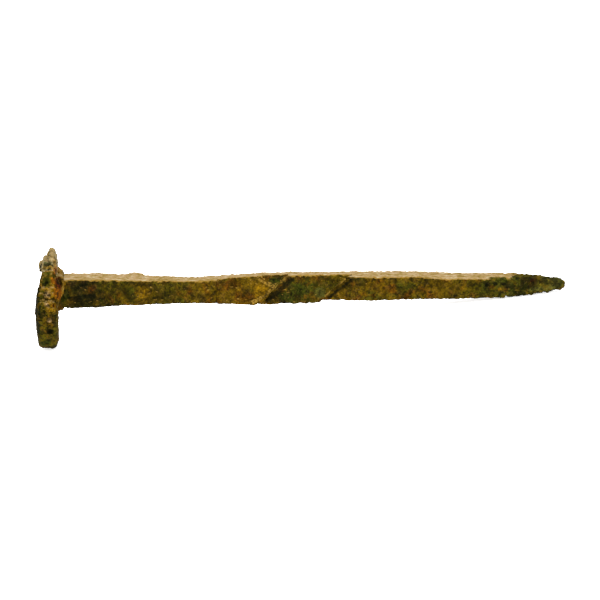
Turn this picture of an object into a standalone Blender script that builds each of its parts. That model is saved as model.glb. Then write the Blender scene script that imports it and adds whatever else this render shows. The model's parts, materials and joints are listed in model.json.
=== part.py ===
"""Hand-forged iron spike with a heavy round head, lying on its side.

The shank is a tapered square bar. Its end passes through an eye in the head and is hammered over in a
countersink, so that the head is held between that peened end and the shank's shoulder. Rust has split leaves
off the head's upper rim, two shingled laps stand proud at mid length, a blister sits on the top face and a
crust caps the point. Each of those is a solid of its own.

The frame: +X runs along the shank from head to point, +Z is up, and the origin is the bottom centre of the
bounding box. Shapes are drawn about the shank's axis, with X = 0 at the head's bearing face.
"""

import math

import bmesh
import bpy
from mathutils import Matrix, Vector

MM = 0.001

# Driving dimensions
LENGTH_UNDER_HEAD = 152.4 * MM
HEAD_RADIUS = 16.3 * MM
HEAD_THICKNESS = 5.4 * MM  # at the rim
HEAD_DROP = 1.0 * MM  # the head's centre lies this far below the shank's axis
FACE_CROWN = 1.2 * MM  # how far the struck face is domed
CROWN_DROP = 2.0 * MM  # the dome's highest point lies this far below the shank's axis
ROOT_HALF_WIDTH = 4.4 * MM
GAP = 0.3 * MM  # clearance between touching pieces

# The struck face is split away above SLOPE_START, where it slants back towards the point, most at the back
SLOPE_START = -4.0 * MM
SLOPE = 0.24
SLOPE_TILT = 0.2

# The joint between shank and head
TENON_HALF_WIDTH = 3.3 * MM
PEEN_RADIUS = 5.4 * MM
PEEN_DEPTH = 1.7 * MM
SOCKET_FLOOR = -1.0 * MM
BOSS_RADIUS = 6.3 * MM
BOSS_RISE = 1.1 * MM  # the boss's centre lies this far above the shank's axis
BOSS_LENGTH = 2.0 * MM
BOSS_EDGE = 0.35 * MM

# Head outline: hammered flats, as the distance of each from the head's centre, in units of HEAD_RADIUS
FLATS = (1.0, 1.01, 0.985, 0.99, 1.0, 0.985, 0.98, 1.01, 1.0, 0.99, 1.015, 0.985, 1.0, 1.0, 0.98, 1.015)
HEAD_SLICES = 72
RIM_ROUND = 1.5 * MM
HOLLOW_FLAT = 7  # the flat under the split leaves is rusted away into a hollow
HOLLOW_SHARE = 0.92

# The split leaves, between two directions round the head: 0 is +Y, 90 degrees is up, 180 is the front
SPLIT_FROM = math.radians(40)
SPLIT_TO = math.radians(140)
SPLIT_EDGE = math.radians(0.1)  # the head steps down within this much of either end of the split
SPLIT_RADIUS = 8.0 * MM  # what is left of the head under the leaves
LEAF_SECTIONS = 25
LEAF_FRONT_RADIUS = 15.5 * MM
RAGGEDNESS = 0.3 * MM

# Shank stations: distance from the bearing face, half width, rise of the centre line, roll in degrees
SHANK_STATIONS = (
    (0.0, 4.35, 0.0, -1.0),
    (5.0, 4.48, -0.15, -1.0),
    (12.0, 4.50, -0.1, -1.0),
    (19.0, 4.02, -0.15, -1.0),
    (31.0, 3.72, -0.35, -2.5),
    (37.0, 3.62, -0.6, -4.0),
    (42.0, 3.52, -0.55, -4.5),
    (47.0, 3.74, -0.45, -3.5),
    (52.0, 3.78, -0.2, -2.5),
    (60.0, 4.15, -0.2, -3.5),
    (70.0, 4.05, 0.05, -3.5),
    (78.0, 3.82, 0.2, -2.0),
    (84.0, 3.80, 0.1, -0.5),
    (99.0, 3.78, 0.05, 1.0),
    (106.0, 3.62, 0.1, 2.0),
    (118.0, 3.30, -0.3, 5.0),
    (127.0, 3.20, -0.3, 5.5),
    (136.0, 3.10, -0.3, 5.5),
    (140.0, 2.85, -0.2, 5.0),
    (143.5, 2.53, -0.2, 5.0),
    (147.0, 2.07, -0.15, 4.0),
    (150.6, 1.57, -0.15, 3.0),
    (152.0, 1.10, -0.15, 3.0),
)
CHAMFER = 0.16  # corner chamfer of the square bar, as a share of its half width
RING_POINTS = 16
TOP_MIDDLE, FRONT_TOP_CORNER, FRONT_MIDDLE, FRONT_LOW_CORNER = 4, 6, 8, 10

# The front face is set back under the laps by this much, between these stations
LAP_BED = 0.75 * MM
LAP_BED_SPAN = (42.0 * MM, 52.0 * MM, 84.0 * MM, 93.0 * MM)
LAP_THICKNESS = 0.5 * MM

# Inside the crust the bar is eaten down to a thinner, rounder point
EATEN_START = 134.2 * MM
EATEN_STEP = 0.6 * MM  # length of the step down, beside which the crust starts
EATEN_DEPTH = 1.2 * MM
EATEN_LIMIT = 0.62  # the most that is eaten away, as a share of the half width
EATEN_ROUNDNESS = 0.6
BAR_END = 150.0 * MM
CRUST_LIFT = 0.15 * MM  # how far the crust stands proud of the bar's own surface
CRUST_ROUNDNESS = 0.5

# Materials: base colour, metallic, roughness
RUSTED_IRON = ("rusted_iron", (0.090, 0.062, 0.010), 0.35, 0.80)
SPLIT_IRON = ("split_iron", (0.300, 0.230, 0.110), 0.25, 0.85)
SCALE = ("rust_scale", (0.160, 0.100, 0.016), 0.05, 0.90)
CRUST = ("mineral_crust", (0.062, 0.058, 0.018), 0.0, 0.95)


def clear_scene():
    for obj in list(bpy.data.objects):
        bpy.data.objects.remove(obj, do_unlink=True)


def material(spec):
    name, colour, metallic, roughness = spec
    made = bpy.data.materials.get(name)
    if made is None:
        made = bpy.data.materials.new(name)
        made.use_nodes = True
        shader = made.node_tree.nodes["Principled BSDF"]
        shader.inputs["Base Color"].default_value = (*colour, 1.0)
        shader.inputs["Metallic"].default_value = metallic
        shader.inputs["Roughness"].default_value = roughness
        made.diffuse_color = (*colour, 1.0)
    return made


def smooth_step(low, high, value):
    share = min(1.0, max(0.0, (value - low) / (high - low)))
    return share * share * (3.0 - 2.0 * share)


def at_station(x, column):
    """One column of SHANK_STATIONS at x, in a straight line between neighbouring stations."""
    x_mm = x / MM
    if x_mm <= SHANK_STATIONS[0][0]:
        return SHANK_STATIONS[0][column]
    for before, after in zip(SHANK_STATIONS, SHANK_STATIONS[1:]):
        if x_mm <= after[0]:
            share = (x_mm - before[0]) / (after[0] - before[0])
            return before[column] + share * (after[column] - before[column])
    return SHANK_STATIONS[-1][column]


def square_point(k, half, chamfer):
    """Point k of a square section with chamfered corners, as (across, up): 4 points for each side."""
    side, step = divmod(k, 4)
    straight = half - chamfer
    corner = half - 0.3 * chamfer
    across, up = ((half, 0.0), (half, straight), (corner, corner), (straight, half))[step]
    for _ in range(side):
        across, up = -up, across
    return across, up


def round_point(k, radius):
    angle = 2.0 * math.pi * k / RING_POINTS
    return radius * math.cos(angle), radius * math.sin(angle)


def lap_bed(x):
    """How far the front face is set back at x."""
    start, deep, shallow, end = LAP_BED_SPAN
    return LAP_BED * min(smooth_step(start, deep, x), 1.0 - smooth_step(shallow, end, x))


def shank_point(x, k, lift=0.0, roundness=0.0):
    """Point k of the shank's section at x, lifted outwards, with the bow and the roll of the bar."""
    half = at_station(x, 1) * MM + lift
    across, up = square_point(k % RING_POINTS, half, CHAMFER * half)
    if roundness:
        round_across, round_up = round_point(k % RING_POINTS, half)
        across += roundness * (round_across - across)
        up += roundness * (round_up - up)
    if across < 0.0:
        across *= 1.0 - lap_bed(x) / half
    roll = math.radians(at_station(x, 3))
    rise = at_station(x, 2) * MM
    return Vector((
        x,
        across * math.cos(roll) - up * math.sin(roll),
        across * math.sin(roll) + up * math.cos(roll) + rise,
    ))


def shank_ring(x, lift=0.0, roundness=0.0):
    return [shank_point(x, k, lift, roundness) for k in range(RING_POINTS)]


def eaten_ring(x, lift=0.0):
    """A ring of the eaten bar inside the crust, or of the crust's inside when it is lifted by the gap."""
    step = smooth_step(EATEN_START, EATEN_START + EATEN_STEP, x)
    eaten = min(EATEN_DEPTH, EATEN_LIMIT * at_station(x, 1) * MM) * step
    share = min(1.0, (x - EATEN_START) / (BAR_END - EATEN_START))
    return shank_ring(x, lift - eaten, EATEN_ROUNDNESS * share)


def skin_point(x, around, lift):
    """A point on the shank's skin, where around runs through the section's points and between them."""
    before = math.floor(around)
    return shank_point(x, before, lift).lerp(shank_point(x, before + 1, lift), around - before)


def struck_face(y, z):
    """X of the head's struck face: a low dome, slanted off towards the top."""
    off_centre = (y * y + (z + CROWN_DROP) ** 2) / HEAD_RADIUS**2
    dome = -HEAD_THICKNESS - FACE_CROWN * (1.0 - off_centre)
    slant = -HEAD_THICKNESS - FACE_CROWN + SLOPE * (z + SLOPE_TILT * y - SLOPE_START)
    return max(dome, slant)


def head_radius(angle):
    """Distance from the head's centre to its rim, as the nearest of the hammered flats."""
    step = 2.0 * math.pi / len(FLATS)
    shares = [HOLLOW_SHARE if i == HOLLOW_FLAT else share for i, share in enumerate(FLATS)]
    reach = min(
        share * HEAD_RADIUS / math.cos(angle - i * step)
        for i, share in enumerate(shares)
        if math.cos(angle - i * step) > 0.3
    )
    if SPLIT_FROM < angle < SPLIT_TO:
        reach = min(reach, SPLIT_RADIUS)
    return reach


def boss_reach(angle):
    """Distance from the shank's axis to the edge of the boss, whose centre lies above that axis."""
    rise = BOSS_RISE * math.sin(angle)
    return rise + math.sqrt(BOSS_RADIUS**2 - (BOSS_RISE * math.cos(angle)) ** 2)


def loft(name, rings, paint, ring_closed=False):
    """A closed solid through rings of equal length, capped at both ends, or joined end to end."""
    mesh = bmesh.new()
    rows = [[mesh.verts.new(point) for point in ring] for ring in rings]
    pairs = list(zip(rows, rows[1:]))
    if ring_closed:
        pairs.append((rows[-1], rows[0]))
    for before, after in pairs:
        for i in range(len(before)):
            j = (i + 1) % len(before)
            mesh.faces.new((before[i], before[j], after[j], after[i]))
    if not ring_closed:
        mesh.faces.new(rows[0][::-1])
        mesh.faces.new(rows[-1])
    bmesh.ops.recalc_face_normals(mesh, faces=mesh.faces)
    bmesh.ops.triangulate(mesh, faces=[f for f in mesh.faces if len(f.verts) > 4])
    data = bpy.data.meshes.new(name)
    mesh.to_mesh(data)
    mesh.free()
    data.materials.append(material(paint))
    data.shade_smooth()
    data.set_sharp_from_angle(angle=math.radians(28))
    obj = bpy.data.objects.new(name, data)
    bpy.context.scene.collection.objects.link(obj)
    return obj


def build_shank():
    """Peened end, tenon, shoulder, tapered bar and the thin point under the crust, in one piece."""
    rings = []

    def end_ring(radius):
        ring = [Vector((0.0, *round_point(k, radius))) for k in range(RING_POINTS)]
        for point in ring:
            point.x = struck_face(point.y, point.z)
        return ring

    rings.append(end_ring(0.55 * PEEN_RADIUS))
    rings.append(end_ring(PEEN_RADIUS))
    for x in (-HEAD_THICKNESS + PEEN_DEPTH + 1.0 * MM, SOCKET_FLOOR + GAP):
        rings.append([Vector((x, *square_point(k, TENON_HALF_WIDTH, CHAMFER * TENON_HALF_WIDTH)))
                      for k in range(RING_POINTS)])
    shoulder = SOCKET_FLOOR + GAP
    rings.append([Vector((shoulder, point.y, point.z)) for point in shank_ring(0.0)])
    stations = [row[0] * MM for row in SHANK_STATIONS if 0.0 < row[0] * MM < EATEN_START]
    stations += [x * MM for x in (3.0, 8.0, 25.0, 48.0, 56.0, 64.0, 74.0, 81.0, 87.0, 90.0, 93.0, 96.0, 110.0)]
    for x in sorted(stations):
        rings.append(shank_ring(x))
    rings.append(eaten_ring(EATEN_START))
    rings.append(eaten_ring(EATEN_START + EATEN_STEP))
    for share in (0.3, 0.6, 0.85, 1.0):
        rings.append(eaten_ring(EATEN_START + share * (BAR_END - EATEN_START)))
    return loft("shank", rings, RUSTED_IRON)


def build_head():
    """The round head: eye, countersink, boss swaged round the shank's root, bearing face, rim and dome."""
    slices = []
    angles = [2.0 * math.pi * (i + 0.5) / HEAD_SLICES for i in range(HEAD_SLICES)]
    angles += [end + side * SPLIT_EDGE for end in (SPLIT_FROM, SPLIT_TO) for side in (-1, 1)]
    for angle in sorted(angles):
        reach = head_radius(angle)
        split = SPLIT_FROM < angle < SPLIT_TO
        rim_round = 0.3 * MM if split else RIM_ROUND
        out = Vector((0.0, math.cos(angle), math.sin(angle)))
        centre = Vector((0.0, 0.0, -HEAD_DROP))

        def from_axis(x, radius):
            return Vector((x, 0.0, 0.0)) + out * radius

        def from_centre(x, radius):
            return Vector((x, 0.0, 0.0)) + centre + out * radius

        def on_face(point):
            return Vector((struck_face(point.y, point.z), point.y, point.z))

        eye = square_reach(angle, TENON_HALF_WIDTH) + GAP
        socket = square_reach(angle, ROOT_HALF_WIDTH) + GAP
        boss = max(boss_reach(angle), socket + 2.0 * BOSS_EDGE)
        sink = on_face(from_axis(0.0, PEEN_RADIUS + GAP))
        outer_edge = on_face(from_centre(0.0, reach - rim_round))
        slices.append([
            sink,
            from_axis(-HEAD_THICKNESS + PEEN_DEPTH + 1.0 * MM, eye),
            from_axis(SOCKET_FLOOR, eye),
            from_axis(SOCKET_FLOOR, socket),
            from_axis(BOSS_LENGTH, socket),
            from_axis(BOSS_LENGTH, socket + BOSS_EDGE),
            from_axis(0.5 * BOSS_LENGTH, 0.45 * (socket + BOSS_EDGE) + 0.55 * boss),
            from_axis(0.0, boss),
            from_centre(0.0, max(reach - rim_round, SPLIT_RADIUS - 0.3 * MM)),
            from_centre(-0.3 * rim_round, reach - 0.3 * rim_round),
            from_centre(-rim_round, reach),
            from_centre(outer_edge.x + rim_round, reach),
            from_centre(outer_edge.x + 0.3 * rim_round, reach - 0.3 * rim_round),
            outer_edge,
            on_face(from_centre(0.0, 0.5 * (reach + PEEN_RADIUS) + 0.6 * MM)),
        ])
    return loft("head", slices, RUSTED_IRON, ring_closed=True)


def square_reach(angle, half):
    """Distance from the axis to a chamfered square's outline in the direction of angle."""
    points = [square_point(k, half, CHAMFER * half) for k in range(RING_POINTS)]
    direction = Vector((math.cos(angle), math.sin(angle)))
    best = 0.0
    for (ax, ay), (bx, by) in zip(points, points[1:] + points[:1]):
        edge = Vector((bx - ax, by - ay))
        start = Vector((ax, ay))
        across = direction.x * edge.y - direction.y * edge.x
        if abs(across) < 1e-12:
            continue
        reach = (start.x * edge.y - start.y * edge.x) / across
        along = (start.x * direction.y - start.y * direction.x) / across
        if reach > 0.0 and -1e-6 <= along <= 1.0 + 1e-6:
            best = max(best, reach)
    return best


def build_leaf(name, root, reach, root_x, tip_x, span, ragged, paint):
    """A leaf split off the head's upper rim: a crescent between two radii, with a ragged broken edge.

    root_x and tip_x are the two faces' places along the shank, at the leaf's root and at its broken edge.
    span is the pair of directions it runs between. It keeps the head's full radius at the front.
    """
    rings = []
    for i in range(LEAF_SECTIONS):
        angle = span[0] + (span[1] - span[0]) * i / (LEAF_SECTIONS - 1)
        out = Vector((0.0, math.cos(angle), math.sin(angle)))
        wave = math.sin(7.0 * angle + ragged) + 0.6 * math.sin(17.0 * angle + 2.0 * ragged)
        front = smooth_step(math.radians(100), math.radians(138), angle)
        back = 1.0 - smooth_step(math.radians(42), math.radians(64), angle)
        top = reach + front * (LEAF_FRONT_RADIUS - reach) - 1.2 * MM * back + RAGGEDNESS * wave * (1.0 - front)
        section = (
            (root_x[0], root),
            (root_x[1], root),
            (tip_x[1], top - RAGGEDNESS),
            (tip_x[1] - 0.25 * (tip_x[1] - tip_x[0]), top),
            (tip_x[0] + 0.25 * (tip_x[1] - tip_x[0]), top),
            (tip_x[0], top - RAGGEDNESS),
        )
        rings.append([Vector((x, 0.0, -HEAD_DROP)) + out * radius for x, radius in section])
    return loft(name, rings, paint)


def build_skin_plate(name, outline, thickness, paint, columns=8):
    """A plate that lies on the shank's skin.

    outline holds (x in millimetres, first point around, last point around), and thickness is a function
    of the share along the plate and the share around it.
    """
    rings = []
    length = outline[-1][0] - outline[0][0]
    for x_mm, first, last in outline:
        along = (x_mm - outline[0][0]) / length
        outer, inner = [], []
        for i in range(columns + 1):
            share = i / columns
            around = first + share * (last - first)
            inner.append(skin_point(x_mm * MM, around, GAP))
            outer.append(skin_point(x_mm * MM, around, GAP + thickness(along, share)))
        rings.append(outer + inner[::-1])
    return loft(name, rings, paint)


def build_first_lap():
    """The lap nearer the head: it starts thin and ends in a raised edge that slants across the front face."""
    outline = (
        (47.5, 6.3, 9.6),
        (52.0, 6.1, 9.85),
        (58.2, 6.0, 9.9),
        (61.5, 6.0, 8.85),
        (64.8, 6.0, 7.7),
        (66.8, 5.9, 6.8),
        (68.4, 5.8, 6.1),
    )

    def thickness(along, share):
        return LAP_THICKNESS * (0.3 + 0.9 * along)

    return build_skin_plate("first_lap", outline, thickness, SCALE)


def build_second_lap():
    """The lap nearer the point: it starts beside the first, folds over the top edge and ends in a slant."""
    outline = (
        (60.0, 9.8, 9.95),
        (63.0, 8.75, 9.95),
        (66.2, 7.65, 9.95),
        (68.4, 6.75, 9.95),
        (70.0, 6.0, 9.9),
        (72.0, 5.2, 9.9),
        (76.0, 5.0, 9.9),
        (79.6, 5.0, 9.8),
        (82.6, 5.0, 8.35),
        (85.4, 5.0, 6.95),
        (87.9, 5.0, 5.7),
    )

    def thickness(along, share):
        return LAP_THICKNESS * (0.25 + 0.95 * along) * (0.6 + 0.4 * smooth_step(0.0, 0.4, share))

    return build_skin_plate("second_lap", outline, thickness, SCALE, columns=10)


def build_top_blister():
    """A lens of scale raised from the top face, steeper towards the point."""
    outline = tuple((x, 2.3, 4.9) for x in (18.2, 20.0, 22.3, 24.0, 25.2, 26.0))

    def thickness(along, share):
        hump = smooth_step(0.0, 0.75, along) * (1.0 - 0.7 * smooth_step(0.8, 1.0, along))
        return (0.15 + 0.75 * hump * math.sin(math.pi * (0.1 + 0.9 * share) ** 0.7)) * MM

    return build_skin_plate("top_blister", outline, thickness, SCALE)


def build_point_crust():
    """A thimble of mineral crust over the eaten point, drawn as its inside and then its outside."""
    start = EATEN_START + EATEN_STEP
    rings = []
    for share in (1.0, 0.9, 0.7, 0.45, 0.2, 0.0):
        rings.append(eaten_ring(start + share * (BAR_END + GAP - start), lift=GAP))
    rings.append(shank_ring(start, CRUST_LIFT - 0.2 * MM, CRUST_ROUNDNESS))
    for x_mm in (136.0, 138.0, 140.0, 142.5, 145.0, 147.0, 149.0, 150.6, 151.6):
        rings.append(shank_ring(x_mm * MM, CRUST_LIFT, CRUST_ROUNDNESS))
    rings.append(shank_ring(LENGTH_UNDER_HEAD - 0.02 * MM, -0.3 * MM, roundness=0.8))
    return loft("point_crust", rings, CRUST)


def main():
    clear_scene()
    pieces = [
        build_shank(),
        build_head(),
        build_leaf("head_inner_leaf", 8.5 * MM, 13.5 * MM, (-2.3 * MM, 0.3 * MM), (-2.15 * MM, -0.4 * MM),
                   (math.radians(41.8), math.radians(138.5)), 0.4, SPLIT_IRON),
        build_leaf("head_outer_leaf", 8.5 * MM, 11.6 * MM, (-4.2 * MM, -2.6 * MM), (-4.1 * MM, -2.9 * MM),
                   (math.radians(48), math.radians(138.5)), 1.9, SPLIT_IRON),
        build_leaf("head_face_scale", 8.3 * MM, 9.8 * MM, (-5.2 * MM, -4.65 * MM), (-5.0 * MM, -4.5 * MM),
                   (math.radians(66), math.radians(118)), 3.1, SCALE),
        build_first_lap(),
        build_second_lap(),
        build_top_blister(),
        build_point_crust(),
    ]
    axis = bpy.data.objects.new("shank_axis", None)
    bpy.context.scene.collection.objects.link(axis)
    points = [vertex.co for piece in pieces for vertex in piece.data.vertices]
    middle = 0.5 * (min(point.x for point in points) + max(point.x for point in points))
    lowest = min(point.z for point in points)
    axis.matrix_world = Matrix.Translation((-middle, 0.0, -lowest))
    for piece in pieces:
        piece.parent = axis


main()
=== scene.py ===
# %% [markdown]
# # A rusted, hand-forged iron spike
#
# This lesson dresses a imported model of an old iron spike: a round hammered head, a slim square shank and a
# point buried in crust. The frame holds the nine solids the spike is made of. Each gets a finely meshed, rusted
# skin in the same place and of nearly the same size, and one family of rust materials covers them all.

# %% Load the frame
import json
import math

import bpy
import numpy as np
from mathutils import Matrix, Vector


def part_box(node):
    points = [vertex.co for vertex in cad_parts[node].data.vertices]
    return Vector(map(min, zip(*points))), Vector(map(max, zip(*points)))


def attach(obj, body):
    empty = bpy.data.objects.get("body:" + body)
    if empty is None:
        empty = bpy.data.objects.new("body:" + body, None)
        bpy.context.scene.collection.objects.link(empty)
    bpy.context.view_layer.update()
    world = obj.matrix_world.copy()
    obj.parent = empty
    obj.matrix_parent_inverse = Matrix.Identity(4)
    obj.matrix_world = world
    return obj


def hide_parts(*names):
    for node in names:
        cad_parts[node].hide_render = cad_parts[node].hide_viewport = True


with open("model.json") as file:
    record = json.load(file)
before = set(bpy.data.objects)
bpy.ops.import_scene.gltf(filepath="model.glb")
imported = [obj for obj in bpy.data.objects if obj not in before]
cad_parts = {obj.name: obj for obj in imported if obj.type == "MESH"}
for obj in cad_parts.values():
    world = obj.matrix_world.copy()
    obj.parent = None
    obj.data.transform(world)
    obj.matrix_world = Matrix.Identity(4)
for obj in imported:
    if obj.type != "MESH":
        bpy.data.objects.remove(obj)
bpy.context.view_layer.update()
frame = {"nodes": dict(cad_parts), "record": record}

# %% [markdown]
# A spike is easiest to describe from two things: the shank's axis and the head's bearing face, which is the
# side that presses on what the spike holds down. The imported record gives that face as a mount, and the shank's
# box gives the axis. Everything below is placed by how far it lies along, across and above that origin, in
# millimetres. The front, which carries the laps, is on the negative side across.

# %% Measure the spike
MM = 0.001
mounts = {mount["name"]: mount for mount in frame["record"]["mounts"]}
bearing_x = mounts["head_bearing_face"]["pos_m"][0]
shank_low, shank_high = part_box("shank")
axis_z = (shank_low.z + shank_high.z) / 2
head_low, head_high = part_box("head")
crust_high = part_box("point_crust")[1]
HEAD_DROP = 1.0 * MM  # the head's centre lies this far below the shank's axis
HEAD_RADIUS = (head_high.y - head_low.y) / 2
RIM_ROUND = 1.5 * MM
LOOK_DOWN = math.radians(14.5)  # the front is seen from this much above


def place(along, across, up):
    """A point, in millimetres from the bearing face, across the shank's axis and above it."""
    return Vector((bearing_x + along * MM, across * MM, axis_z + up * MM))


def rim_place(along, around, sink=0.0):
    """A point on the head's rim: around is 0 at the back, 90 degrees at the top and 180 at the front."""
    radius = HEAD_RADIUS / MM - sink
    angle = math.radians(around)
    return place(along, radius * math.cos(angle), radius * math.sin(angle)) - Vector((0, 0, HEAD_DROP))


print("length under the head", round((crust_high.x - bearing_x) / MM, 1), "mm")
print("head", round(2 * HEAD_RADIUS / MM, 1), "mm across")

# %% [markdown]
# ## Working on a copy of a solid
#
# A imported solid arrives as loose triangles. Its copy is merged at its doubles, so that the triangles share
# their corners, and then a voxel remesh replaces them by an even grid of small quads. That grid is what makes
# rust possible: every quad is about as small as the smallest pit that will be pushed into it. Subdividing would
# also give small faces, but long thin ones wherever the triangles were long and thin.

# %% Copy, merge and remesh
MERGE = 0.001 * MM  # corners closer than this are the same corner


def only(piece):
    """Selects this piece alone and makes it active, so that an operator acts on nothing else."""
    bpy.ops.object.select_all(action="DESELECT")
    piece.select_set(True)
    bpy.context.view_layer.objects.active = piece


def copied(name, node):
    data = frame["nodes"][node].data.copy()
    data.materials.clear()
    piece = bpy.data.objects.new(name, data)
    bpy.context.collection.objects.link(piece)
    only(piece)
    bpy.ops.object.mode_set(mode="EDIT")
    bpy.ops.mesh.select_all(action="SELECT")
    bpy.ops.mesh.remove_doubles(threshold=MERGE)
    bpy.ops.mesh.normals_make_consistent(inside=False)
    bpy.ops.object.mode_set(mode="OBJECT")
    return piece


def apply_modifier(piece, kind, **settings):
    only(piece)
    modifier = piece.modifiers.new(kind.lower(), kind)
    for setting, value in settings.items():
        setattr(modifier, setting, value)
    bpy.ops.object.modifier_apply(modifier=modifier.name)


def fine_skin(piece, voxel, smoothing=4, swell=0.0):
    """An even grid of quads over the piece, with softened edges, grown outwards by swell in mm."""
    apply_modifier(piece, "REMESH", mode="VOXEL", voxel_size=voxel * MM, use_smooth_shade=True)
    apply_modifier(piece, "SMOOTH", factor=0.5, iterations=smoothing)
    if swell:
        apply_modifier(piece, "DISPLACE", strength=swell * MM, mid_level=0.0)
    print(piece.name, len(piece.data.polygons), "faces")


# %% [markdown]
# ## Reading and moving points
#
# Sculpting in code means choosing some points and moving them a little. A choice is one number for each point,
# from 0 to 1. `spot` chooses an ellipsoid round a place, `line` a band along a path of places, `patch` whatever
# shows at one place on the front, and `above` and `beyond` choose by height and by length. The same choices
# later mark where the rust is red, golden, green, dark or pale, so shape and colour always agree.

# %% Points, spots and lines
def points_of(piece):
    points = np.empty(len(piece.data.vertices) * 3, np.float32)
    piece.data.vertices.foreach_get("co", points)
    return points.reshape(-1, 3).astype(float)


def set_points(piece, points):
    piece.data.vertices.foreach_set("co", points.astype(np.float32).ravel())
    piece.data.update()


def normals_of(piece):
    normals = np.empty(len(piece.data.vertices) * 3, np.float32)
    piece.data.vertex_normals.foreach_get("vector", normals)
    return normals.reshape(-1, 3).astype(float)


def spot(piece, where, reach):
    """1 at a place, falling evenly to 0 at the reach, given in mm along, across and up."""
    away = (points_of(piece) - np.array(where)) / (np.array(reach) * MM)
    return np.clip(1.0 - np.linalg.norm(away, axis=1), 0.0, 1.0)


def line(piece, width, *path):
    """1 on a path of places, falling evenly to 0 at the width in mm. Depth counts a third as much."""
    flat = np.array((1.0, 0.33, 1.0))
    points = points_of(piece) * flat
    nearest = np.full(len(points), np.inf)
    for start, end in zip(path, path[1:]):
        start, end = np.array(start) * flat, np.array(end) * flat
        span = end - start
        share = np.clip((points - start) @ span / (span @ span), 0.0, 1.0)
        away = points - start - share[:, None] * span
        nearest = np.minimum(nearest, np.linalg.norm(away, axis=1))
    return np.clip(1.0 - nearest / (width * MM), 0.0, 1.0)


def patch(piece, along, height, reach):
    """1 at a place on the front, as it is seen from a little above, falling to 0 at the reach in mm."""
    points = points_of(piece) / MM
    seen = np.cos(LOOK_DOWN) * (points[:, 2] - axis_z / MM) + np.sin(LOOK_DOWN) * points[:, 1]
    away = np.hypot((points[:, 0] - bearing_x / MM - along) / reach[0], (seen - height) / reach[1])
    return np.clip(1.0 - away, 0.0, 1.0) * (points[:, 1] < 0)


def above(piece, up, fade):
    """0 up to a height above the shank's axis, rising to 1 over the fade, all in mm."""
    return np.clip(((points_of(piece)[:, 2] - axis_z) / MM - up) / fade, 0.0, 1.0)


def beyond(piece, along, fade):
    """0 up to a place along the spike, rising to 1 over the fade, all in mm."""
    return np.clip(((points_of(piece)[:, 0] - bearing_x) / MM - along) / fade, 0.0, 1.0)


def shift(piece, choice, along, across, up):
    """Moves the chosen points by so many mm, with a smooth rise from the edge of the choice to its middle."""
    smooth = choice * choice * (3.0 - 2.0 * choice)
    set_points(piece, points_of(piece) + smooth[:, None] * np.array((along, across, up)) * MM)


def tint(piece, mark, choice):
    """Marks the chosen points for a colour, keeping the stronger mark where two meet."""
    attributes = piece.data.attributes
    attribute = attributes.get(mark) or attributes.new(mark, "FLOAT", "POINT")
    values = np.empty(len(piece.data.vertices), np.float32)
    attribute.data.foreach_get("value", values)
    attribute.data.foreach_set("value", np.maximum(values, choice).astype(np.float32))


# %% [markdown]
# ## Relief
#
# Rusted iron has relief at several sizes at once: the smith's hammer leaves shallow waves about 10 mm long,
# scale comes away in flakes of a few millimetres, and pits go down to a fraction of a millimetre. Each size is
# one procedural texture, and a Displace modifier pushes the skin in and out by it.
#
# The relief is also kept on the mesh as a number at each point, from below 0 in a pit to above 0 on a ridge,
# because rust is darker in pits and paler on the edges that hands and soil have worn.

# %% Relief textures
def relief_texture(name, kind, size, **settings):
    texture = bpy.data.textures.new(name, kind)
    texture.noise_scale = size * MM
    for setting, value in settings.items():
        setattr(texture, setting, value)
    return texture


hammer_waves = relief_texture("hammer_waves", "CLOUDS", 11, noise_depth=1)
flakes = relief_texture("flakes", "VORONOI", 2.4, weight_1=-1.0, weight_2=1.0, noise_intensity=1.3)
lumps = relief_texture("lumps", "CLOUDS", 2.4, noise_depth=2, contrast=1.6)
pits = relief_texture("pits", "CLOUDS", 1.0, noise_depth=3, contrast=2.4)
grain = relief_texture("grain", "CLOUDS", 0.55, noise_depth=1, contrast=1.8)


def rust_relief(piece, *layers):
    """Displaces the piece by each (texture, height in mm) and keeps the sum as the mark relief."""
    before = points_of(piece)
    normals = normals_of(piece)
    for texture, height, *choice in layers:
        group = ""
        if choice:
            group = piece.vertex_groups.new(name=texture.name).name
            for i, weight in enumerate(choice[0]):
                piece.vertex_groups[group].add([i], float(weight), "REPLACE")
        apply_modifier(piece, "DISPLACE", texture=texture, texture_coords="LOCAL", direction="NORMAL",
                       mid_level=0.5, strength=height * MM, vertex_group=group)
    height = ((points_of(piece) - before) * normals).sum(axis=1) / MM
    attribute = piece.data.attributes.new("relief", "FLOAT", "POINT")
    attribute.data.foreach_set("value", height.astype(np.float32))
    print(piece.name, "relief from", round(float(height.min()), 2), "to", round(float(height.max()), 2), "mm")


# %% [markdown]
# ## The shank
#
# The bar is square, drawn out by hand, so its faces are never quite flat. Its solid also holds the tenon and
# the hammered-over end that hold the head on. Small pits lie near its root, a golden patch about a sixth of the
# way along, and two deeper pits just before the crust begins.

# %% Shank
shank = copied("rusted_shank", "shank")
fine_skin(shank, 0.25, smoothing=5)
ROOT_PITS = ((5.5, 0.4), (9.5, 0.35), (7.4, 0.3))  # mm along, mm deep
POINT_PITS = ((131.0, 0.45), (128.6, 0.35))
for pit_places, up in ((POINT_PITS, 0.6), (ROOT_PITS, -1.0)):
    for along, depth in pit_places:
        shift(shank, spot(shank, place(along, -3.4, up), (1.6, 1.5, 0.9)), 0, depth, 0)
rust_relief(shank, (hammer_waves, 0.35), (lumps, 0.28), (flakes, 0.12), (pits, 0.24), (grain, 0.10))

# %% [markdown]
# The shank's marks are set on the finished relief. Dust stays off wherever the iron is marked damp or dark.

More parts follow.
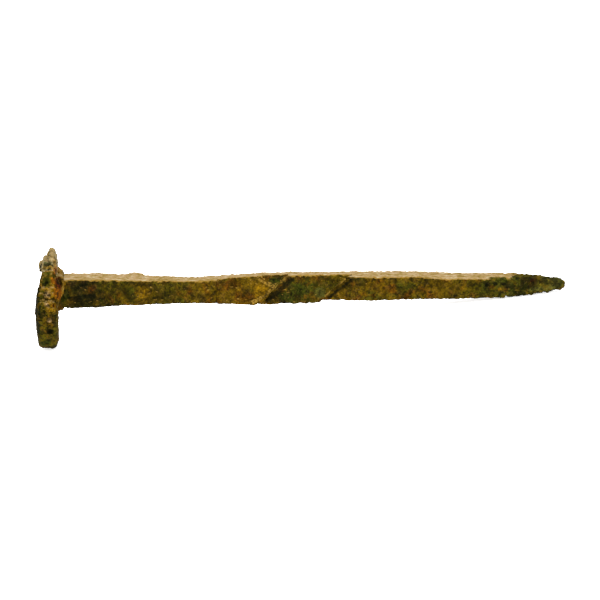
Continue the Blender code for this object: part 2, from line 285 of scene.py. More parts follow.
# %% Marks on the shank
tint(shank, "gold", spot(shank, place(1.6, -4.2, 2.6), (2.6, 2.5, 3.4)) * 0.8)
tint(shank, "gold", spot(shank, place(25.6, -3.9, -0.4), (4.4, 3.0, 3.2)) * 0.85)
tint(shank, "gold", spot(shank, place(132.4, -3.2, -0.8), (2.0, 2.5, 1.8)) * 0.6)
for along, up in ((128.4, 0.4), (131.0, 0.9), (133.6, 0.8)):
    tint(shank, "dark", spot(shank, place(along, -3.2, up), (1.4, 2.0, 1.0)))
# Painted shade: root_shade darkens the bar where the head's rim shades it, and lap_shade darkens the step behind
# the second lap's raised edge.
root_shade = line(shank, 1.6, place(4.0, -4.2, -1.5), place(11.0, -4.2, -0.6))
lap_shade = line(shank, 1.5, place(81.4, -3.6, -2.4), place(88.2, -3.6, 3.1))
tint(shank, "dark", root_shade * 0.8)
tint(shank, "dark", lap_shade * 0.7)
tint(shank, "damp", spot(shank, place(134.5, -3.4, 3.2), (9.0, 2.6, 2.0)) * 1.5)
tint(shank, "damp", spot(shank, place(131.0, -3.2, 0.2), (5.0, 2.5, 2.0)) * 2.0)
print("marks on the shank:", ", ".join(attribute.name for attribute in shank.data.attributes if
                                       attribute.name in ("gold", "dark", "damp")))

# %% [markdown]
# ## The head
#
# The head's rim is the roughest part. Rust has eaten a hollow under the split leaves, the middle of the rim is
# a field of small golden lumps, and lower down is one deep pit. Round the shank's root the boss still stands
# up as a pale lip.

# %% Hollows in the rim
head = copied("rusted_head", "head")
fine_skin(head, 0.22, smoothing=6)
shift(head, spot(head, rim_place(-2.9, 155), (2.3, 3.0, 2.9)), 0, 1.1, -0.4)
shift(head, spot(head, rim_place(0.2, 150), (1.6, 3.5, 2.8)), -0.7, 1.2, 0)
deep_pit = spot(head, rim_place(-2.1, 210), (1.5, 2.2, 1.4))
shift(head, deep_pit, 0, 1.5, 0.5)

# %% [markdown]
# The boss is the collar of iron round the shank's root. Rust has narrowed it below, left its edge standing as a
# lip, and eaten a pit behind the lip. Between boss and rim the bearing face has swollen with rust, so the three
# run into each other on the front, and the rim's inner edge is no longer straight.

# %% Boss and inner edge
lip = (place(0.3, -5.6, 6.7), place(1.2, -5.4, 6.0), place(1.8, -5.2, 4.8), place(2.0, -5.0, 3.1),
       place(1.8, -5.0, 1.9), place(1.4, -5.2, 0.8), place(0.9, -5.5, -0.6))
shift(head, spot(head, place(1.6, -5.2, -2.2), (2.4, 3.0, 4.4)), -1.0, 0, 0)  # narrows the boss below
shift(head, line(head, 0.9, *lip), 0.2, -0.3, 0)  # raises the lip
shift(head, spot(head, place(1.2, -5.4, 3.4), (1.8, 2.8, 2.2)), -0.3, 1.1, 0)  # sinks the pit behind it
shift(head, spot(head, place(0.2, -8.5, 1.8), (2.4, 4.5, 6.0)), 1.3, 0, 0)  # swells the bearing face
shift(head, spot(head, place(0.0, -12.5, 2.6), (2.0, 4.0, 6.0)), 0.8, 0, 0)
# Degrees around the rim, and how many mm the edge is pushed out there, or in if below 0.
EDGE_BITES = ((157, 0.5), (165, -0.5), (172, 0.5), (180, -0.6), (188, 0.4), (197, -0.5), (207, 0.4))
for around, push in EDGE_BITES:
    shift(head, spot(head, rim_place(0.0, around), (1.8, 2.5, 1.5)), push, -0.3 * push, 0)
print("boss and inner edge:", len(lip), "points on the lip,", len(EDGE_BITES), "bites in the edge")

# %% [markdown]
# The golden grains get the same two textures a second time, only where the rim is rough. The relief would push
# some points below the flat that the head rests on, so those are lifted back to it.

# %% Relief of the head
upper_grains = spot(head, rim_place(-2.2, 170), (4.5, 6.0, 5.2))
lower_grains = spot(head, rim_place(-2.4, 192), (3.6, 5, 5))
rough = np.clip(np.maximum(upper_grains, lower_grains) * 2.2, 0.0, 1.0)
rust_relief(head, (hammer_waves, 0.4), (lumps, 0.35), (pits, 0.3), (lumps, 0.5, rough), (pits, 0.55, rough),
            (grain, 0.14))
points = points_of(head)
points[:, 2] = np.maximum(points[:, 2], head_low.z)
set_points(head, points)

# %% [markdown]
# From top to bottom the front of the head shows a green hollow with an orange edge, a dark red pit beside it
# on the boss, orange scale below the pit, golden grains dusted with pale ones, and one deep black pit. Rim and
# boss lie at different depths, so these are patches, which mark both at once.

# %% Marks on the head
HEAD_PATCHES = (  # mark, mm along, height as seen, reach, strength
    ("green", -2.4, 5.0, (2.6, 1.8), 0.7),
    ("green", -2.9, 2.3, (2.2, 2.6), 1.1),
    ("dark", -2.9, 2.2, (1.8, 2.0), 0.6),
    ("orange", -0.3, 6.0, (1.6, 3.0), 0.8),
    ("orange", -0.9, 2.9, (1.7, 2.2), 0.75),
    ("orange", 0.4, -0.8, (2.4, 3.8), 1.0),
    ("orange", -0.8, -4.6, (2.0, 2.0), 0.55),
    ("red", 0.9, 2.4, (2.0, 2.4), 1.5),
    ("dark", 0.9, 2.6, (1.7, 1.9), 1.0),
    ("gold", 1.0, 6.0, (1.6, 2.6), 1.0),
    ("gold", -1.6, 0.0, (4.2, 6.5), 1.0),
    ("gold", -1.6, -5.0, (3.4, 3.6), 0.9),
    ("gold", -1.8, -8.6, (3.0, 2.8), 0.85),
    ("pale", -2.8, -1.1, (2.6, 2.8), 0.65),
    ("pale", -2.9, -4.2, (2.0, 1.6), 0.6),
    ("pale", -2.1, -8.8, (1.6, 1.3), 0.8),
)
for mark, along, height, reach, strength in HEAD_PATCHES:
    tint(head, mark, patch(head, along, height, reach) * strength)
tint(head, "dark", np.clip(deep_pit * 1.8, 0.0, 1.0))
tint(head, "gold", spot(head, place(0.8, -1.0, 6.6), (2.2, 7.0, 3.0)))
print("head marked in", len(HEAD_PATCHES), "patches")

# %% [markdown]
# A thin lip runs along the rim just under the leaves, worn pale like the one on the boss. Down the outer edge
# the rust is green and then nearly black, and the inner edge keeps free of dust.

# %% Edges of the head
rim_lip = (rim_place(-4.4, 140.3), rim_place(-2.2, 141.0), rim_place(-0.8, 141.5), rim_place(0.2, 145.0))
shift(head, line(head, 0.8, *rim_lip), 0, -0.25, 0.15)
for ridge in (lip, rim_lip):
    tint(head, "ridge", line(head, 0.8, *ridge))
tint(head, "green", spot(head, rim_place(-5.8, 190, 1.0), (2.0, 12.0, 14.0)))
tint(head, "green", spot(head, rim_place(-3.0, 232), (5.0, 7.0, 5.0)) * 0.8)
tint(head, "dark", spot(head, rim_place(-6.2, 185, 1.0), (1.8, 18.0, 18.0)) * 1.6)
inner_edge = line(head, 1.2, *(rim_place(0.2, around) for around in (140, 155, 170, 185, 200, 215)))
tint(head, "damp", inner_edge * 1.6)
print("points kept free of dust:", int((inner_edge > 0).sum()))

# %% [markdown]
# ## The split leaves
#
# Wrought iron is layered, and rust creeps between the layers and forces them apart. At the top of the head the
# outer layers have split off as leaves. Their skins are grown a little, so that the seams between them close to
# hairlines here and there, as they do where rust has filled a split.

# %% Leaves
leaves = []
for name, node, swell in (("inner_leaf", "head_inner_leaf", 0.05), ("outer_leaf", "head_outer_leaf", 0.1),
                          ("face_scale", "head_face_scale", 0.1)):
    leaf = copied("rusted_" + name, node)
    fine_skin(leaf, 0.14, smoothing=4, swell=swell)
    leaves.append(leaf)
inner_leaf, outer_leaf, face_scale = leaves

# %% [markdown]
# Then the leaves are bent to their real outlines. The inner leaf leans outwards at its top. The outer leaf and
# the scale are thickened towards the seam behind them, and their outer sides draw in as they rise, so that the
# scale's lower tip sticks out furthest. The two leaves also sag a little at the front.

# %% Shape of the leaves
rising_top = above(inner_leaf, 10.8, 2.0) * spot(inner_leaf, place(0.4, 0, 12), (3.0, 20, 9))
shift(inner_leaf, rising_top, -1.0, 0, 0)
for leaf, gap in ((outer_leaf, -3.4), (face_scale, -4.9)):
    shift(leaf, beyond(leaf, gap, 0.4), 0.6, 0, 0)
    outer_side = 1.0 - beyond(leaf, gap - 0.8, 0.8)
    shift(leaf, outer_side * above(leaf, 8.6, 2.4), 0.6, 0, 0)
shift(face_scale, above(face_scale, 8.6, 2.4), 1.1, 0, 0)
outer_side = 1.0 - beyond(inner_leaf, -1.8, 0.8)
shift(inner_leaf, outer_side * above(inner_leaf, 12.6, 1.2), -1.3, 0, 0)
for leaf in (inner_leaf, outer_leaf):
    front = np.clip((-points_of(leaf)[:, 1] / MM - 8.0) / 3.0, 0.0, 1.0)
    shift(leaf, front, 0, -0.25, -0.35)
print("tops of the leaves", [round((points_of(leaf)[:, 2].max() - axis_z) / MM, 1) for leaf in leaves], "mm up")

# %% [markdown]
# The leaves are bleached, but turn golden where they meet the rim. A green band crosses them above their lower
# ends, which are worn pale.

# %% Relief and marks of the leaves
for leaf in leaves:
    rust_relief(leaf, (lumps, 0.4), (flakes, 0.2), (pits, 0.35), (grain, 0.12))
    tint(leaf, "gold", (1.0 - above(leaf, 5.6, 2.4)) * 0.6)
    tint(leaf, "green", spot(leaf, place(-2.8, -10.8, 10.4), (3.6, 5.0, 2.2)) * 1.1)
    tint(leaf, "dark", spot(leaf, place(-5.6, -11.5, 8.8), (1.4, 5.0, 1.6)))
    tint(leaf, "ridge", line(leaf, 0.9, rim_place(-5.0, 136.2, 0.6), rim_place(-0.5, 136.2, 0.6)))
tint(inner_leaf, "gold", spot(inner_leaf, place(-0.2, -8.0, 10.6), (1.6, 8.0, 3.4)) * 0.8)
tint(inner_leaf, "orange", patch(inner_leaf, -0.3, 6.0, (1.6, 3.0)) * 0.7)

# %% [markdown]
# ## The laps
#
# Two plates of scale lie over each other on the front, like shingles, each ending in a raised edge that slants
# across the bar. The raised edges have been rubbed pale, and behind each the step down is painted darker as
# shade.
# On the first lap a second ridge runs down to meet the first in a point, which leaves a golden tongue between
# the two and a green hollow above them, painted darker as shade.

# %% First lap
LAP_RELIEF = ((lumps, 0.22), (pits, 0.18), (grain, 0.10))
first_lap = copied("first_lap_scale", "first_lap")
fine_skin(first_lap, 0.13, smoothing=3, swell=0.06)
tongue_end = place(64.9, -4.1, 0.7)
lower_ridge = (place(58.4, -4.1, -3.7), place(62.0, -4.1, -1.4), tongue_end)
upper_ridge = (place(60.3, -4.1, 3.4), place(62.8, -4.1, 1.9), tongue_end)
limb = (tongue_end, place(66.8, -4.1, 2.6), place(68.7, -4.1, 4.3))
green_hollow_with_painted_shade = spot(first_lap, place(64.6, -4.0, 3.1), (2.6, 1.5, 1.7))
shift(first_lap, line(first_lap, 1.3, *limb), 0.7, -0.15, 0)
shift(first_lap, green_hollow_with_painted_shade, 0, 0.35, 0)
shift(first_lap, line(first_lap, 0.9, *upper_ridge), 0, -0.15, 0)
shift(first_lap, line(first_lap, 1.0, *lower_ridge), 0, -0.2, 0)
rust_relief(first_lap, *LAP_RELIEF)
tint(first_lap, "gold", spot(first_lap, place(61.0, -4.1, -0.2), (5.5, 2.0, 4.0)))
tint(first_lap, "green", green_hollow_with_painted_shade)
# Painted shade: the sunken hollow is painted darker.
tint(first_lap, "dark", green_hollow_with_painted_shade * 0.6)
for ridge in (lower_ridge, upper_ridge, limb):
    tint(first_lap, "ridge", line(first_lap, 0.62, *ridge))

# %% [markdown]
# The second lap starts tight against the first, so its near end is drawn towards that seam. Its far end is cut
# off in one straight slant: the lower corner is drawn back and the upper part pushed on until the edge is
# straight. Then the edge is raised and worn, like the first lap's.

# %% Second lap
second_lap = copied("second_lap_scale", "second_lap")
fine_skin(second_lap, 0.13, smoothing=3, swell=0.06)
lap_seam = (place(59.5, -4.0, -3.7), *limb)
end_ridge = (place(80.2, -4.0, -1.8), place(83.8, -4.0, 1.1), place(87.6, -4.0, 4.2))
lower_corner = line(second_lap, 3.0, place(80.4, -4.0, -3.5), place(83.2, -4.0, -0.4))
shift(second_lap, lower_corner, -1.5, 0, 0)
shift(second_lap, spot(second_lap, place(85.5, -4.0, 2.9), (2.6, 2.0, 1.7)), 1.3, 0, 0)
shift(second_lap, line(second_lap, 0.9, *end_ridge), 0, -0.2, 0)
shift(second_lap, line(second_lap, 2.6, *lap_seam), -1.0, 0.15, 0)
rust_relief(second_lap, *LAP_RELIEF)
tint(second_lap, "ridge", line(second_lap, 0.8, *end_ridge))
tint(second_lap, "ridge", line(second_lap, 0.7, *limb[1:]))
# Painted shade: the step down behind the first lap's raised edge is painted darker.
lee_painted_shade = line(second_lap, 2.0, place(62.9, -4.0, -2.8), place(66.3, -4.0, 0.1), place(69.9, -4, 3.3))
tint(second_lap, "dark", lee_painted_shade * 0.75)
tint(second_lap, "green", spot(second_lap, place(73.0, -4.1, 0.5), (7.0, 2.0, 5.0)) * 0.8)
tint(second_lap, "grey", spot(second_lap, place(78.4, -4.1, -0.8), (3.0, 2.0, 3.0)))
tint(second_lap, "red", line(second_lap, 0.8, place(76.8, -1.7, 4.1), place(87.4, -1.7, 4.1)))

# %% [markdown]
# Small drops of scale hang down along the lower edges of both laps. Each is one small spot of skin pulled
# down, and a spot that misses a lap leaves it alone.

# %% Nodules under the laps
NODULES = ((58.8, 0.5), (63.4, 0.35), (70.5, 0.4), (74.1, 0.45), (76.2, 0.35))  # mm along, mm down
for along, drop in NODULES:
    for lap in (first_lap, second_lap):
        shift(lap, spot(lap, place(along, -3.3, -4.0), (1.2, 1.4, 1.0)), 0, -0.1, -0.9 * drop)
print(len(NODULES), "nodules")

# %% [markdown]
# ## The blister
#
# The blister is a lens of scale that has lifted off the top face. Its skin is let down into the bar, which
# closes the gap under its rim.

# %% Blister
blister = copied("rusted_blister", "top_blister")
fine_skin(blister, 0.13, smoothing=4)
shift(blister, np.ones(len(blister.data.vertices)), 0, 0, -0.6)
rust_relief(blister, (lumps, 0.3), (pits, 0.25), (grain, 0.10))

# %% [markdown]
# ## The crust
#
# The crust is different stuff: soil and corrosion grown together into a hard, lumpy cap over the point. Its
# solid starts with a square step. The skin's first millimetres are drawn out over the bar and tucked in
# towards its axis, so that the crust begins as a thin feathered edge.

# %% Crust
FEATHER_REACH = 2.0 * MM
FEATHER_TUCK = 0.12  # share of the way in to the crust's own axis
CRUST_AXIS = np.array((0.0, axis_z - 0.3 * MM))
crust = copied("lumpy_crust", "point_crust")
fine_skin(crust, 0.16, smoothing=3, swell=0.05)
points = points_of(crust)
points[:, 0] -= FEATHER_REACH * (1.0 - beyond(crust, 134.9, 1.5))
set_points(crust, points)
points[:, 1:] -= (points[:, 1:] - CRUST_AXIS) * (FEATHER_TUCK * (1.0 - beyond(crust, 133.1, 1.2)))[:, None]
set_points(crust, points)
shift(crust, spot(crust, place(136.6, -1.0, 3.2), (0.8, 3.0, 0.9)), 0, 0, -0.4)
shift(crust, spot(crust, place(142.2, -2.4, 0.9), (1.0, 1.2, 0.8)), 0, 0.5, 0)
rust_relief(crust, (flakes, 0.25), (lumps, 0.6), (pits, 0.35), (grain, 0.12))
tint(crust, "grey", line(crust, 1.2, place(141.5, -2.6, -1.2), place(150.5, -1.4, -0.6)) * 0.8)
tint(crust, "red", spot(crust, place(142.2, -2.4, 1.6), (1.2, 1.5, 1.0)))
for along, height, reach in ((140.5, 1.2, (6.0, 2.4)), (135.5, -0.8, (4.0, 2.6))):
    tint(crust, "damp", patch(crust, along, height, reach) * 2.5)

# %% [markdown]
# ## Materials
#
# Each finish is a small graph of nodes. A class keeps the graph readable, because it gives one short method to
# each kind of node. Every pattern reads the piece's own coordinates in millimetres, so a pit of rust is as big
# on the head as on the point.

# %% Nodes
STUDIO = 2.45  # light that falls on a standing face here, against a plain white surround


def linear(red, green, blue):
    """The reflectance that looks like this screen colour, 0 to 255, in this studio's light."""
    shares = [c / 255 for c in (red, green, blue)]
    return tuple((s / 12.92 if s <= 0.04045 else ((s + 0.055) / 1.055) ** 2.4) / STUDIO for s in shares)


class Finish:
    """A material under construction, with one short method for each node it needs."""

    def __init__(self, name):
        self.material = bpy.data.materials.new(name)
        self.material.use_nodes = True
        self.nodes = self.material.node_tree.nodes
        self.links = self.material.node_tree.links
        self.shader = self.nodes["Principled BSDF"]
        coordinates = self.nodes.new("ShaderNodeTexCoord")
        scaled = self.nodes.new("ShaderNodeMapping")
        scaled.inputs["Location"].default_value = (-bearing_x / MM, 0, -axis_z / MM)
        scaled.inputs["Scale"].default_value = (1 / MM, 1 / MM, 1 / MM)
        self.links.new(coordinates.outputs["Object"], scaled.inputs["Vector"])
        self.millimetres = scaled.outputs["Vector"]
        self.facing_up = self.part(coordinates.outputs["Normal"], "Z")
        self.along = self.part(self.millimetres, "X")

    def put(self, socket, value):
        if isinstance(value, bpy.types.NodeSocket):
            self.links.new(value, socket)
        elif isinstance(value, tuple) and socket.type == "RGBA":
            socket.default_value = (*value, 1.0)
        else:
            socket.default_value = value

    def part(self, vector, axis):
        node = self.nodes.new("ShaderNodeSeparateXYZ")
        self.links.new(vector, node.inputs[0])
        return node.outputs[axis]

    def noise(self, size, detail=4.0, roughness=0.6, offset=0.0, stretch=1.0):
        """Noise whose blotches are about this many mm across, and longer along the spike by the stretch."""
        node = self.nodes.new("ShaderNodeTexNoise")
        moved = self.nodes.new("ShaderNodeMapping")
        moved.inputs["Location"].default_value = (offset, offset, offset)
        moved.inputs["Scale"].default_value = (1 / stretch, 1, 1)
        self.links.new(self.millimetres, moved.inputs["Vector"])
        self.links.new(moved.outputs["Vector"], node.inputs["Vector"])
        node.inputs["Scale"].default_value = 1.0 / size
        node.inputs["Detail"].default_value = detail
        node.inputs["Roughness"].default_value = roughness
        return node.outputs["Fac"]

    def cells(self, size):
        """Distance to the nearest of many scattered points: small inside round spots."""
        node = self.nodes.new("ShaderNodeTexVoronoi")
        node.inputs["Scale"].default_value = 1.0 / size
        self.links.new(self.millimetres, node.inputs["Vector"])
        return node.outputs["Distance"]

    def step(self, value, low, high):
        """0 below low, 1 above high, and smooth between them. Swap them to turn it round."""
        node = self.nodes.new("ShaderNodeMapRange")
        node.interpolation_type = "SMOOTHSTEP"
        self.put(node.inputs["Value"], value)
        flipped = low > high
        node.inputs["From Min"].default_value = min(low, high)
        node.inputs["From Max"].default_value = max(low, high)
        node.inputs["To Min"].default_value = 1.0 if flipped else 0.0
        node.inputs["To Max"].default_value = 0.0 if flipped else 1.0
        return node.outputs["Result"]

    def math(self, operation, first, second=0.0, third=0.0):
        node = self.nodes.new("ShaderNodeMath")
        node.operation = operation
        for socket, value in zip(node.inputs, (first, second, third)):
            self.put(socket, value)
        return node.outputs[0]

    def ragged(self, value, amount, size, offset=0.0):
        """The value with noise added, so that a border drawn through it is ragged."""
        scatter = self.noise(size, offset=offset)
        return self.math("ADD", value, self.math("MULTIPLY_ADD", scatter, amount, -0.5 * amount))

    def mix(self, share, first, second, blend="MIX"):
        node = self.nodes.new("ShaderNodeMix")
        node.data_type = "RGBA"
        node.blend_type = blend
        self.put(node.inputs[0], share)
        self.put(node.inputs[6], first)
        self.put(node.inputs[7], second)
        return node.outputs[2]

    def ramp(self, value, *stops):
        node = self.nodes.new("ShaderNodeValToRGB")
        self.put(node.inputs[0], value)
        elements = node.color_ramp.elements
        elements[0].position, elements[0].color = stops[0][0], (*stops[0][1], 1.0)
        elements[1].position, elements[1].color = stops[-1][0], (*stops[-1][1], 1.0)
        for position, colour in stops[1:-1]:
            elements.new(position).color = (*colour, 1.0)
        return node.outputs["Color"]

    def grey_ramp(self, value, *stops):
        return self.ramp(value, *((position, (grey, grey, grey)) for position, grey in stops))

    def attribute(self, name):
        node = self.nodes.new("ShaderNodeAttribute")
        node.attribute_name = name
        return node.outputs["Fac"]


# %% [markdown]
# ## Rust
#
# One recipe makes all five finishes. It starts from a body colour that may change along the spike. Over that
# come soft blotches of green, red-brown, gold and rose, then the marks set on the mesh, then speckle at three
# sizes, then dark pits, painted glints and golden ridges, and last the tan dust that has settled on whatever
# faces up, with a golden film on slopes that is partly painted highlight. Rust hardly shines, so there is almost
# no specular light in it.

# %% Palette
BLACK = linear(18, 20, 6)
OLIVE_BLACK = linear(46, 42, 8)
OLIVE = linear(76, 68, 6)
BROWN = linear(96, 74, 5)
GOLD = linear(132, 98, 8)
GREEN = linear(60, 66, 12)
GREY_GREEN = linear(92, 90, 34)
ROSE = linear(122, 84, 50)
ORANGE = linear(150, 84, 10)
RED_BROWN = linear(108, 56, 6)
DARK_RED = linear(84, 24, 4)
SLOPE_DUST_AND_SHEEN = linear(176, 138, 58)
WORN = linear(146, 114, 42)
PAINTED_GLINT = linear(150, 124, 70)
TAN = linear(164, 140, 82)
PALE_TAN = linear(198, 184, 144)
PINK_TAN = linear(184, 152, 110)
DARK_TAN = linear(136, 106, 42)
LEAF = linear(170, 156, 114)
LEAF_PALE = linear(190, 178, 144)

# %% [markdown]
# The first layers are colour alone. The body colour is a ramp along the spike, and its borders wander a little.
# Blotches are noise with a soft threshold, each size with its own colour. Marks are the numbers that `tint` set
# on the mesh; noise is added to them before the threshold, so that a mark's border is as ragged as real rust.

# %% Body, blotches and marks
SPIKE_LENGTH = (crust_high.x - bearing_x) / MM
BLOTCHES = (  # size in mm, offset, share, colour
    (5.0, 31.0, 0.7, GREEN),
    (3.4, 57.0, 0.6, RED_BROWN),
    (2.6, 83.0, 0.3, GOLD),
    (1.6, 97.0, 0.15, ROSE),
)
MARKS = (  # mark, colour, raggedness
    ("gold", GOLD, 0.8),
    ("green", GREEN, 0.8),
    ("grey", GREY_GREEN, 0.8),
    ("orange", ORANGE, 0.8),
    ("red", DARK_RED, 0.8),
    ("pale", PINK_TAN, 0.8),
    ("dark", BLACK, 0.7),
    ("ridge", WORN, 0.4),
)
MARK_SHARE = 0.85


def body_colour(finish, body):
    """body is a tuple of (mm from the bearing face, colour) stops."""
    place_along = finish.ragged(finish.math("DIVIDE", finish.along, SPIKE_LENGTH), 0.05, 5.0, offset=41.0)
    return finish.ramp(place_along, *((max(0.0, along / SPIKE_LENGTH), shade) for along, shade in body))


def blotched(finish, colour, strength):
    for size, offset, share, blotch in BLOTCHES:
        patches = finish.step(finish.noise(size, detail=3.0, roughness=0.5, offset=offset), 0.48, 0.70)
        colour = finish.mix(finish.math("MULTIPLY", patches, share * strength), colour, blotch)
    return colour


def marked(finish, colour):
    for mark, paint, raggedness in MARKS:
        share = finish.step(finish.ragged(finish.attribute(mark), raggedness, 0.9, offset=5.0), 0.3, 0.6)
        colour = finish.mix(finish.math("MULTIPLY", share, MARK_SHARE), colour, paint)
    return colour


# %% [markdown]
# The next layers are the grain of the rust. Speckle multiplies the colour, so it darkens and lightens without
# greying. Pits are black where the relief is low, and more small holes are scattered where the surface is
# gritty, with pale specks painted on there as glints of light.

# %% Speckle, pits and painted glints
SPECKLE = ((0.5, 0.42, 11.0), (1.1, 0.42, 23.0), (3.4, 0.35, 37.0))  # size in mm, depth, offset


def speckled(finish, colour, contrast):
    for size, depth, offset in SPECKLE:
        pattern = finish.noise(size, detail=3.0, roughness=0.6, offset=offset)
        low, high = 1.0 - 1.2 * depth * contrast, 1.0 + 0.9 * depth * contrast
        shade = finish.grey_ramp(pattern, (0.36, low), (0.5, 1.0), (0.64, high))
        colour = finish.mix(1.0, colour, shade, blend="MULTIPLY")
    return colour


def pitted_and_worn(finish, colour, pitted):
    relief = finish.attribute("relief")
    gritty = finish.step(finish.noise(7.0, detail=2.0, offset=67.0), 0.38, 0.60)
    pit = finish.math("MULTIPLY", finish.step(relief, 0.0, -0.22), 0.7)
    colour = finish.mix(pit, colour, BLACK)
    holes = finish.step(finish.ragged(finish.cells(1.0), 0.3, 1.6, offset=13.0), 0.36, 0.18)
    holes = finish.math("MULTIPLY", holes, gritty)
    colour = finish.mix(finish.math("MULTIPLY", holes, pitted), colour, BLACK)
    # Painted glints: pale specks that stand in for highlights where the surface is gritty.
    painted_glints = finish.step(finish.noise(0.45, detail=1.0, offset=71.0), 0.62, 0.74)
    painted_glints = finish.math("MULTIPLY", painted_glints, gritty)
    colour = finish.mix(finish.math("MULTIPLY", painted_glints, 0.28), colour, PAINTED_GLINT)
    ridge = finish.math("MULTIPLY", finish.step(relief, 0.06, 0.26), 0.3)
    return finish.mix(ridge, colour, GOLD)


# %% [markdown]
# Dust settles on what faces up: a thin golden film on slopes, which is partly painted highlight along the edges,
# and a streaky tan layer on the level. It fades out where the crust begins. It also stays off every damp, dark,
# red, orange or green mark, because a coat of dust would hide the pits and the fresh rust there.

# %% Dust and painted sheen
DUST_AND_SHEEN_LAYERS = ((0.3, 0.5, 0.85), (0.6, 0.85, 1.0))  # from and to which upward tilt, share


def dusted_and_sheened(finish, colour, dust_and_sheen, dust_and_sheen_end):
    tilted = finish.ragged(finish.facing_up, 0.5, 1.1, offset=19.0)
    reach = finish.step(finish.ragged(finish.along, 8.0, 2.5, offset=29.0), dust_and_sheen_end + 3.0, dust_and_sheen_end - 6.0)
    damp = finish.attribute("damp")
    for mark in ("dark", "red", "orange", "green"):
        damp = finish.math("MAXIMUM", damp, finish.attribute(mark))
    dry = finish.step(finish.ragged(damp, 0.5, 0.9, offset=47.0), 0.6, 0.3)
    amount = finish.math("MULTIPLY", finish.math("MULTIPLY", reach, dry), dust_and_sheen)
    streaks = finish.noise(1.0, detail=5.0, roughness=0.65, offset=7.0, stretch=2.6)
    tan = finish.ramp(streaks, (0.34, DARK_TAN), (0.45, TAN), (0.54, PINK_TAN), (0.64, PALE_TAN))
    # The first layer, on slopes, is partly dust and partly a painted highlight along the edges.
    for (low, high, share), layer in zip(DUST_AND_SHEEN_LAYERS, (SLOPE_DUST_AND_SHEEN, tan)):
        cover = finish.math("MULTIPLY", finish.step(tilted, low, high), amount)
        colour = finish.mix(finish.math("MULTIPLY", cover, share), colour, layer)
    return colour


# %% [markdown]
# The whole recipe stacks these layers and adds a fine bump, which gives the rust its gritty look close up. The
# roughness varies from grain to grain too, so that no part of the spike shines evenly.

# %% Rust recipe
def rust(name, body, dust_and_sheen=1.0, contrast=1.0, blotches=1.0, pitted=0.6, dust_and_sheen_end=SPIKE_LENGTH):
    """A rust finish. The dust, and the painted sheen on slopes, fade out towards dust_and_sheen_end, in mm from
    the bearing face.
    """
    finish = Finish(name)
    colour = body_colour(finish, body)
    colour = blotched(finish, colour, blotches)
    colour = marked(finish, colour)
    colour = speckled(finish, colour, contrast)
    colour = pitted_and_worn(finish, colour, pitted)
    colour = dusted_and_sheened(finish, colour, dust_and_sheen, dust_and_sheen_end)
    finish.put(finish.shader.inputs["Base Color"], colour)
    finish.shader.inputs["Specular IOR Level"].default_value = 0.02
    grit = finish.noise(0.5, detail=2.0, offset=11.0)
    finish.put(finish.shader.inputs["Roughness"], finish.grey_ramp(grit, (0.3, 0.75), (0.7, 0.95)))
    bump = finish.nodes.new("ShaderNodeBump")
    bump.inputs["Strength"].default_value = 0.7
    bump.inputs["Distance"].default_value = 0.2 * MM
    finish.put(bump.inputs["Height"], finish.noise(0.4, detail=4.0, roughness=0.7, offset=3.0))
    finish.links.new(bump.outputs["Normal"], finish.shader.inputs["Normal"])
    print(name, len(finish.nodes), "nodes")
    return finish.material


# %% [markdown]
# The shank's body colour changes along the spike: nearly black near the head, which is painted shade from the
# head's rim, then olive and brown in turn, and dull green towards the crust. The head's body is plain olive,
# because its gold, green and orange all come from marks. The blister shares the shank's finish, and the three
# leaves share one.

# %% Finishes
# The nearly black stretch from 2.5 to 11 mm is painted shade where the head's rim shades the bar.
IRON_BODY = ((0, OLIVE), (2.5, OLIVE_BLACK), (11, OLIVE_BLACK), (16, OLIVE), (26, BROWN), (33, OLIVE),
             (45, BROWN), (90, BROWN), (112, BROWN), (126, OLIVE), (134, GREEN))
HEAD_BODY = ((0, OLIVE), (10, OLIVE_BLACK))
LEAF_BODY = ((0, LEAF), (40, LEAF_PALE))
LAP_BODY = ((46, BROWN), (60, BROWN), (68, OLIVE_BLACK), (78, OLIVE), (90, BROWN))
CRUST_BODY = ((126, OLIVE), (134, GREEN), (142, OLIVE), (152, GREY_GREEN))
iron_rust = rust("dark_iron_rust", IRON_BODY, dust_and_sheen_end=138.0)
head_rust = rust("golden_head_rust", HEAD_BODY, dust_and_sheen=0.4, pitted=0.8)
leaf_rust = rust("bleached_leaf_rust", LEAF_BODY, dust_and_sheen=0.35, contrast=0.9, blotches=0.3)
lap_rust = rust("lap_scale_rust", LAP_BODY, pitted=0.3)
crust_rust = rust("green_black_crust", CRUST_BODY, dust_and_sheen_end=138.5)

# %% [markdown]
# Every skin rides on the spike's one body and stands in for its imported solid.

# %% Dress
pieces = (
    (shank, "shank", "rusted_iron", iron_rust),
    (head, "head", "rusted_iron", head_rust),
    (inner_leaf, "head_inner_leaf", "split_iron", leaf_rust),
    (outer_leaf, "head_outer_leaf", "split_iron", leaf_rust),
    (face_scale, "head_face_scale", "rust_scale", leaf_rust),
    (first_lap, "first_lap", "rust_scale", lap_rust),
    (second_lap, "second_lap", "rust_scale", lap_rust),
    (blister, "top_blister", "rust_scale", iron_rust),
    (crust, "point_crust", "mineral_crust", crust_rust),
)
for piece, node, slot, finish in pieces:
    piece.data.materials.append(finish)
    only(piece)
    bpy.ops.object.shade_smooth()
    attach(piece, "root")
    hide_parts(node)
print(len(pieces), "skins,", sum(len(piece.data.polygons) for piece, *_ in pieces), "faces")

# %% [markdown]
# ## The floor
#
# A loose spike doesn't lie level: it rests on the rim of its head and on its point. The floor is tilted about
# the rim's inner corner until it just touches the spike's far end. It is a white table lit a little from
# inside, as small finds are often laid out on.

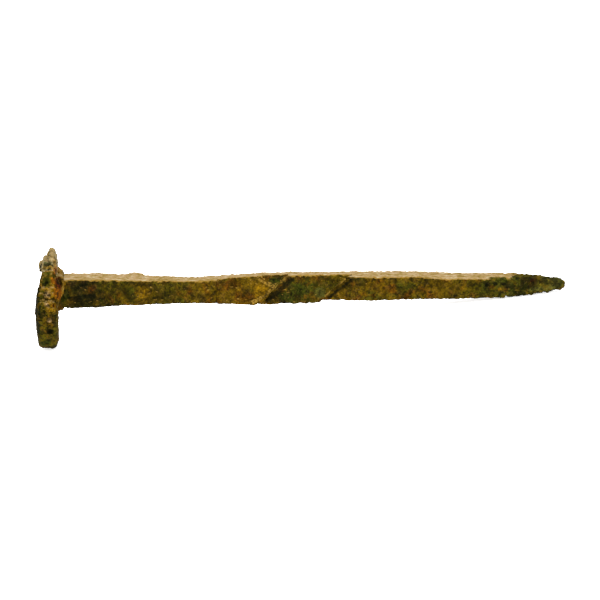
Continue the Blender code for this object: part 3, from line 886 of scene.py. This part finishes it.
# %% Floor
corner = Vector((bearing_x - RIM_ROUND, 0, head_low.z))
half_way = 0.5 * (crust_high.x - bearing_x)
from_corner = np.vstack([points_of(shank), points_of(crust)]) - np.array(corner)
far_half = from_corner[from_corner[:, 0] > half_way]
slope = math.atan(float((far_half[:, 2] / far_half[:, 0]).min()))
bpy.ops.object.select_all(action="DESELECT")
bpy.ops.mesh.primitive_plane_add(size=8.0, location=corner, rotation=(0, -slope, 0))
floor = bpy.context.object
floor.name = "studio_floor"
bpy.ops.object.transform_apply(location=True, rotation=True, scale=True)
floor_finish = bpy.data.materials.new("pale_floor")
floor_finish.use_nodes = True
floor_shader = floor_finish.node_tree.nodes["Principled BSDF"]
floor_shader.inputs["Base Color"].default_value = (0.93, 0.93, 0.93, 1.0)
floor_shader.inputs["Roughness"].default_value = 1.0
floor_shader.inputs["Specular IOR Level"].default_value = 0.0
floor_shader.inputs["Emission Color"].default_value = (1.0, 1.0, 1.0, 1.0)
floor_shader.inputs["Emission Strength"].default_value = 0.7
floor.data.materials.append(floor_finish)
print("floor tilted by", round(math.degrees(slope), 2), "degrees")

# %% [markdown]
# ## Light
#
# Light comes from all round, as inside a tent of white cloth, with one very large soft light overhead to make
# the upward faces the brightest. It is bright enough to turn the pale floor white, which keeps the shadow faint.

# %% Light
world = bpy.data.worlds.new("white_studio")
bpy.context.scene.world = world
world.use_nodes = True
world.node_tree.nodes["Background"].inputs["Color"].default_value = (1.0, 1.0, 1.0, 1.0)
world.node_tree.nodes["Background"].inputs["Strength"].default_value = 1.4


def softbox(name, location, size, power):
    bpy.ops.object.light_add(type="AREA", location=location)
    lamp = bpy.context.object
    lamp.name = name
    lamp.data.shape = "DISK"
    lamp.data.size = size
    lamp.data.energy = power
    lamp.rotation_euler = (-Vector(location)).to_track_quat("-Z", "Y").to_euler()
    return lamp


softbox("overhead_softbox", (-0.1, -0.1, 1.2), 1.4, 32.0)
bpy.context.scene.view_settings.view_transform = "Standard"

# %% [markdown]
# ## Camera
#
# The camera looks slightly down on the spike's front, from almost straight beside the middle of its length and
# from well away, so that the long thin shape isn't distorted.

# %% Camera
AZIMUTH = math.radians(-3.3)
ELEVATION = LOOK_DOWN
FRAME_WIDTH = 180 * MM
LENS, SENSOR = 200.0, 36.0
aim = place(72.6, 0, -4.06)
back = Vector((
    math.sin(AZIMUTH) * math.cos(ELEVATION),
    -math.cos(AZIMUTH) * math.cos(ELEVATION),
    math.sin(ELEVATION),
))
distance = FRAME_WIDTH * LENS / SENSOR
bpy.ops.object.camera_add(location=aim + back * distance)
camera = bpy.context.object
camera.name = "studio_camera"
camera.rotation_euler = (-back).to_track_quat("-Z", "Y").to_euler()
camera.data.lens = LENS
camera.data.sensor_width = SENSOR
camera.data.clip_start = 0.01
camera.data.clip_end = 20.0
bpy.context.scene.camera = camera
print("camera", round(distance, 2), "m away")
